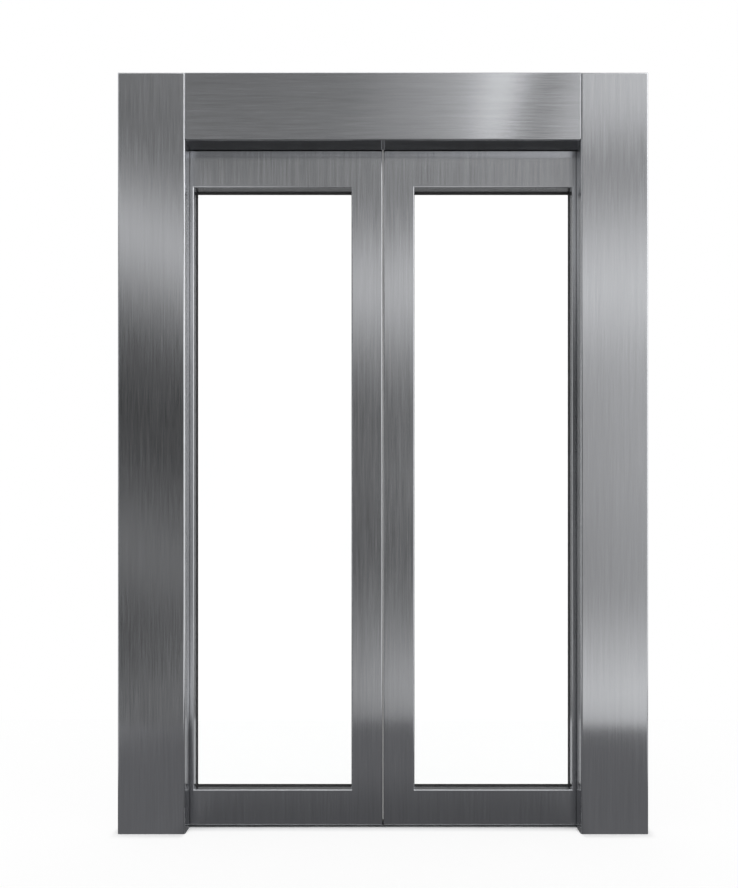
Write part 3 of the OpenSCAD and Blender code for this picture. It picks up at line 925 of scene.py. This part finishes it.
# %% Bolt the track to the portal
BEAM_SHEET = 0.003        # thickness of the track beam
END_BOLTS = (0.622, 0.793)     # places across, near the two edges of a jamb
HEAD_BOLTS = 0.45         # how far to each side the bolts to the header reach
SPACER_INSET = 0.1        # from the rail's end to the middle of its last spacer
SCREW_OFFSET = 0.014      # from a spacer's middle to each of its two screws
beam_back = beam_low.y + BEAM_SHEET
end_zs = (beam_low.z + 0.018, beam_high.z - 0.030)    # heights of the bolts at the jambs
head_z = beam_high.z - 0.020                          # height of the bolts to the header
end_points = [(sign * x, beam_back, z) for sign in (-1, 1) for x in END_BOLTS for z in end_zs]
head_points = [(x, beam_back, head_z) for x in spread(-HEAD_BOLTS, HEAD_BOLTS, 4)]
portal_bolts = lay_heads(small_bolt, "beam_bolts", end_points + head_points)
finish_piece(portal_bolts, zinc_fastener, "frame", "galvanised")
SPACERS = 5
spacer_xs = spread(rail_low.x + SPACER_INSET, rail_high.x - SPACER_INSET, SPACERS)
rail_screws = lay_heads(screw, "rail_screws",
                        [(x + dx, rail_high.y, (rail_low.z + rail_high.z) / 2 - 0.002)
                         for x in spacer_xs for dx in (-SCREW_OFFSET, SCREW_OFFSET)])
finish_piece(rail_screws, zinc_fastener, "frame", "rail_steel")
pulley_nuts = lay_heads(small_bolt, "pulley_nuts",
                        [(sign * (pulley_low.x + pulley_high.x) / 2, bracket_high.y,
                          (pulley_low.z + pulley_high.z) / 2) for sign in (-1, 1)])
finish_piece(pulley_nuts, zinc_fastener, "frame", "galvanised")
drop(big_nut, small_bolt, screw)

# %% [markdown]
# ## Floor
# The landing's floor is plain and pale. The sill lies flush in it, so a slot is cut out of the
# floor where the sill shows, a hair wider than the sill so that no two faces touch.

# %% Lay the floor
FLOOR_REACH = Vector((3.2, 1.5, 0))
deselect_all()
bpy.ops.mesh.primitive_plane_add(size=2)
floor = named(bpy.context.object, "floor")
floor.scale = FLOOR_REACH
floor.location = (0, 0, 0)
bpy.ops.object.transform_apply(location=True, rotation=True, scale=True)
slot_gap = 0.0004
cut_window(floor, Vector((sill_low.x - slot_gap, sill_low.y, 0)),
           Vector((sill_high.x + slot_gap, sill_high.y + slot_gap, 0)), "z")
print("floor", len(floor.data.polygons), "faces round the sill")


# %% [markdown]
# ## What the floor shows to whom
# The eye sees the floor white, straight or through a pane, with a soft shadow at the jambs' feet,
# partly real and partly painted shade. The steel mirrors another floor, a painted reflection that
# glows grey: painted shade darkest at the doorway, and painted light further out to the sides and
# behind the door. Light Path tells the two kinds of ray apart.

# %% Paint the floor
def seen_through_glass_or_straight(finish):
    """1 for what the eye sees straight or through a pane, 0 for what the steel mirrors."""
    eye = finish.node("ShaderNodeLightPath", out="Is Camera Ray")
    through = finish.node("ShaderNodeLightPath", out="Is Transmission Ray")
    bounced = finish.node("ShaderNodeLightPath", out="Glossy Depth")
    return eye.or_more(through * (1 - bounced))


def white_seen(finish):
    """White, a little over where it arrives through a pane, which takes a tenth of it."""
    through = finish.node("ShaderNodeLightPath", out="Is Transmission Ray")
    return finish.mix(through, (1.0, 1.0, 1.0), (1.09, 1.09, 1.09))


def rising(finish, value, start, end):
    """0 up to start, 1 from end on, and a soft step between."""
    return finish.node("ShaderNodeMapRange", {"interpolation_type": "SMOOTHSTEP"},
                       {"Value": value, "From Min": start, "From Max": end})


SHADOW_EVERYWHERE = 0.12    # share of the lit, shadowed floor in what the eye sees
# Close to the jambs' feet the extra share is painted shade, on top of the real shadow in the matt
# floor.
SHADOW_AT_FOOT = 0.68       # how much more of it there is close to the jambs' feet


def floor_finish(name):
    finish = new_finish(name)
    here = finish.node("ShaderNodeTexCoord", out="Object")
    x, y = (finish.node("ShaderNodeSeparateXYZ", sockets={"Vector": here}, out=i) for i in range(2))
    off_axis = abs(x)
    toward_jamb = rising(finish, off_axis, 0.59, 0.61) * 0.06
    # Painted shade at the jambs' feet: there the white gives way to the matt floor, which is darker
    # than the white even where no shadow falls.
    painted_shade_at_foot = rising(finish, y + toward_jamb, -0.045, 0.0) * (1 - rising(finish, y, 0.0, 0.03))
    painted_shade_at_foot = painted_shade_at_foot * (1 - rising(finish, off_axis, 0.805, 0.83))
    # Painted shade: the floor that the steel mirrors is darker in front of the doorway.
    painted_shade_in_doorway = rising(finish, y, -0.70, -0.05) * (1 - rising(finish, off_axis, 0.56, 0.66))
    grain = finish.noise((3.0, 3.0, 3.0), detail=2.0)
    pale = finish.mix(grain, (0.94, 0.94, 0.94), (0.98, 0.98, 0.98))
    matt = finish.node("ShaderNodeBsdfDiffuse", sockets={"Color": pale})
    white = finish.node("ShaderNodeEmission",
                        sockets={"Color": white_seen(finish), "Strength": 1.0})
    # The grey that the steel mirrors is a painted reflection: it glows, though it is no lamp.
    dim = finish.mix(painted_shade_in_doorway, (0.17, 0.17, 0.175), (0.115, 0.115, 0.119))
    # Painted light: further out to the sides and behind the door that grey is paler.
    painted_light_aside = rising(finish, off_axis, 1.2, 1.6).or_more(rising(finish, y, 0.10, 0.30))
    dim = finish.mix(painted_light_aside, dim, (0.55, 0.55, 0.555))
    grey = finish.node("ShaderNodeEmission", sockets={"Color": dim, "Strength": 1.0})
    mirrored_ray = finish.node("ShaderNodeLightPath", out="Is Glossy Ray")
    unseen = finish.node("ShaderNodeMixShader", sockets={0: mirrored_ray, 1: matt, 2: grey})
    seen = seen_through_glass_or_straight(finish)
    both = finish.node("ShaderNodeMixShader", sockets={0: seen, 1: unseen, 2: white})
    share = seen * (SHADOW_EVERYWHERE + SHADOW_AT_FOOT * painted_shade_at_foot)
    kept = finish.node("ShaderNodeMixShader", sockets={0: share, 1: both, 2: matt})
    finish.node("ShaderNodeOutputMaterial", sockets={"Surface": kept})
    return finish.owner


floor.data.materials.append(floor_finish("pale_floor"))
print("floor painted", floor.data.materials[0].name)

# %% [markdown]
# ## Studio
# Steel shows little of itself: what the eye reads as its tone is the room in front of it. So the
# room that the steel mirrors is designed: a dim hall with a bright band above eye level, a paler
# right-hand side, a bright place over the header, and a shaft behind. The eye never sees it, as
# everything seen past the door or through a pane is white. Matt parts are lit by plain white.
# The lists give the hall's grey by how steeply a direction rises, as (rise, grey), once for the
# left, the middle and the right. The last list runs across, for what is over the header.


# %% The hall's greys
HALL_LEFT = [
    (-0.5, 0.15), (-0.35, 0.3), (-0.28, 0.25), (-0.23, 0.02), (-0.19, 0.1), (-0.15, 0.02),
    (-0.1, 0.02), (-0.05, 0.35), (0.05, 0.02), (0.19, 0.02), (0.25, 0.12), (0.34, 0.95),
    (0.4, 0.25), (0.46, 0.1), (0.56, 0.3),
]
HALL_MIDDLE = [
    (-0.5, 0.15), (-0.35, 0.55), (-0.27, 0.5), (-0.245, 0.15), (-0.2, 0.5), (-0.17, 0.45),
    (-0.1, 0.2), (-0.03, 0.05), (0.06, 0.15), (0.14, 0.1), (0.2, 0.3), (0.27, 0.7),
    (0.31, 0.6), (0.36, 0.25), (0.56, 0.25),
]
HALL_RIGHT = [
    (-0.5, 0.15), (-0.35, 1.4), (-0.285, 1.4), (-0.265, 0.2), (-0.215, 1.1), (-0.16, 0.8),
    (-0.08, 0.5), (0.06, 0.6), (0.2, 0.65), (0.28, 0.95), (0.34, 0.8), (0.435, 0.25),
    (0.5, 0.85), (0.56, 0.95),
]
HALL_HIGH = [
    (-0.3, 0.2), (-0.05, 0.25), (0, 0.4), (0.075, 0.6), (0.1, 0.75), (0.13, 1.5), (0.145, 1.0),
    (0.16, 0.4), (0.175, 0.1), (0.195, 0.45), (0.22, 0.8), (0.3, 0.75),
]
print("hall stops", len(HALL_LEFT), len(HALL_MIDDLE), len(HALL_RIGHT), len(HALL_HIGH))

# %% [markdown]
# ## Building the surroundings
# A direction is measured in front of the door: how far it goes across and how far it rises for
# each metre ahead. Masks with soft edges then lay one part of the room over another.

# %% Build the surroundings
def ramp(finish, stops, place):
    """A grey read off a list of (place, grey) pairs."""
    first, last = stops[0][0], stops[-1][0]
    scaled = [((at - first) / (last - first), grey) for at, grey in stops]
    factor = (place - first) / (last - first)
    return finish.node("ShaderNodeValToRGB", {"stops": scaled}, {"Fac": factor})


LEAST_AHEAD = 0.05        # keeps directions beside and behind the door from dividing by zero


def surroundings():
    finish = Finish(bpy.context.scene.world)
    toward = finish.node("ShaderNodeTexCoord", out="Generated")
    x, y, z = (finish.node("ShaderNodeSeparateXYZ", sockets={"Vector": toward}, out=i)
               for i in range(3))
    ahead = (0 - y).or_more(LEAST_AHEAD)
    across, rise = x / ahead, z / ahead
    left = ramp(finish, HALL_LEFT, rise + (across + 0.27) * 0.35)
    middle = ramp(finish, HALL_MIDDLE, rise)
    right = ramp(finish, HALL_RIGHT, rise)
    hall = finish.mix(rising(finish, across, -0.27, -0.02), left, middle)
    hall = finish.mix(rising(finish, across, 0.02, 0.27), hall, right)
    off_axis = abs(across)
    over_header = rising(finish, rise, 0.43, 0.455) * (1 - rising(finish, off_axis, 0.225, 0.24))
    over_all = rising(finish, rise, 0.545, 0.60)
    high = over_header.or_more(over_all)
    hall = finish.mix(high, hall, ramp(finish, HALL_HIGH, across - (rise - 0.49) * 0.3))
    left_wall = rising(finish, 0 - across, 0.60, 0.80)
    hall = finish.mix(left_wall, hall, (0.5, 0.5, 0.5))
    hall = finish.mix(rising(finish, 0 - across, 1.4, 1.9), hall, (0.04, 0.04, 0.04))
    panel = (1.6 + 2.4 * z).or_more(0.3)
    panel = finish.node("ShaderNodeCombineColor", sockets={0: panel, 1: panel, 2: panel})
    hall = finish.mix(rising(finish, across, 0.9, 1.5), hall, panel)
    hall = finish.mix(rising(finish, rise, 1.3, 2.2), hall, (2.2, 2.2, 2.2))
    below = finish.mix(rising(finish, off_axis, 0.45, 0.8), (0.04, 0.04, 0.04), (0.5, 0.5, 0.5))
    hall = finish.mix(rising(finish, 0 - rise, 0.36, 0.44), hall, below)
    hall = finish.mix(rising(finish, y, -0.30, -0.14), hall, (0.9, 0.9, 0.9))
    aside = abs(x)
    shaft = finish.mix(rising(finish, aside, 0.40, 0.55), (0.16, 0.16, 0.16), (0.75, 0.75, 0.75))
    hall = finish.mix(rising(finish, y, 0.10, 0.35), hall, shaft)
    glossy = finish.node("ShaderNodeLightPath", out="Is Glossy Ray")
    open_room = finish.mix(glossy, (1.0, 1.0, 1.0), hall)
    colour = finish.mix(seen_through_glass_or_straight(finish), open_room, white_seen(finish))
    sky = finish.node("ShaderNodeBackground", sockets={"Color": colour, "Strength": 1.0})
    finish.node("ShaderNodeOutputWorld", sockets={"Surface": sky})


if bpy.context.scene.world is None:
    bpy.context.scene.world = bpy.data.worlds.new("hall")
surroundings()
bpy.context.scene.view_settings.view_transform = "Standard"

# %% [markdown]
# ## Lamp
# One wide soft lamp, high in front and to the left, gives the matt parts and the floor their
# shadow. The bright upright band on the header isn't a lamp: it is the brightest place in the
# hall over the header, which the level grain smears from top to bottom.

# %% Hang the lamp
def lamp(name, azimuth, elevation, distance, size, radiance):
    """A soft lamp that faces the header, at the given angles, in degrees, and distance."""
    data = bpy.data.lights.new(name, "AREA")
    data.shape = "RECTANGLE"
    data.size, data.size_y = size
    data.energy = radiance * math.pi * size[0] * size[1]
    aim = Vector((0, header_low.y, (header_low.z + header_high.z) / 2))
    a, e = math.radians(azimuth), math.radians(elevation)
    toward_lamp = Vector((math.sin(a) * math.cos(e), -math.cos(a) * math.cos(e), math.sin(e)))
    place = aim + distance * toward_lamp
    light = bpy.data.objects.new(name, data)
    light.location = place
    light.rotation_euler = (place - aim).to_track_quat("Z", "Y").to_euler()
    bpy.context.scene.collection.objects.link(light)
    print(name, [round(v, 2) for v in place])


lamp("soft_lamp", azimuth=-20, elevation=72, distance=3.4, size=(2.4, 1.4), radiance=1.0)
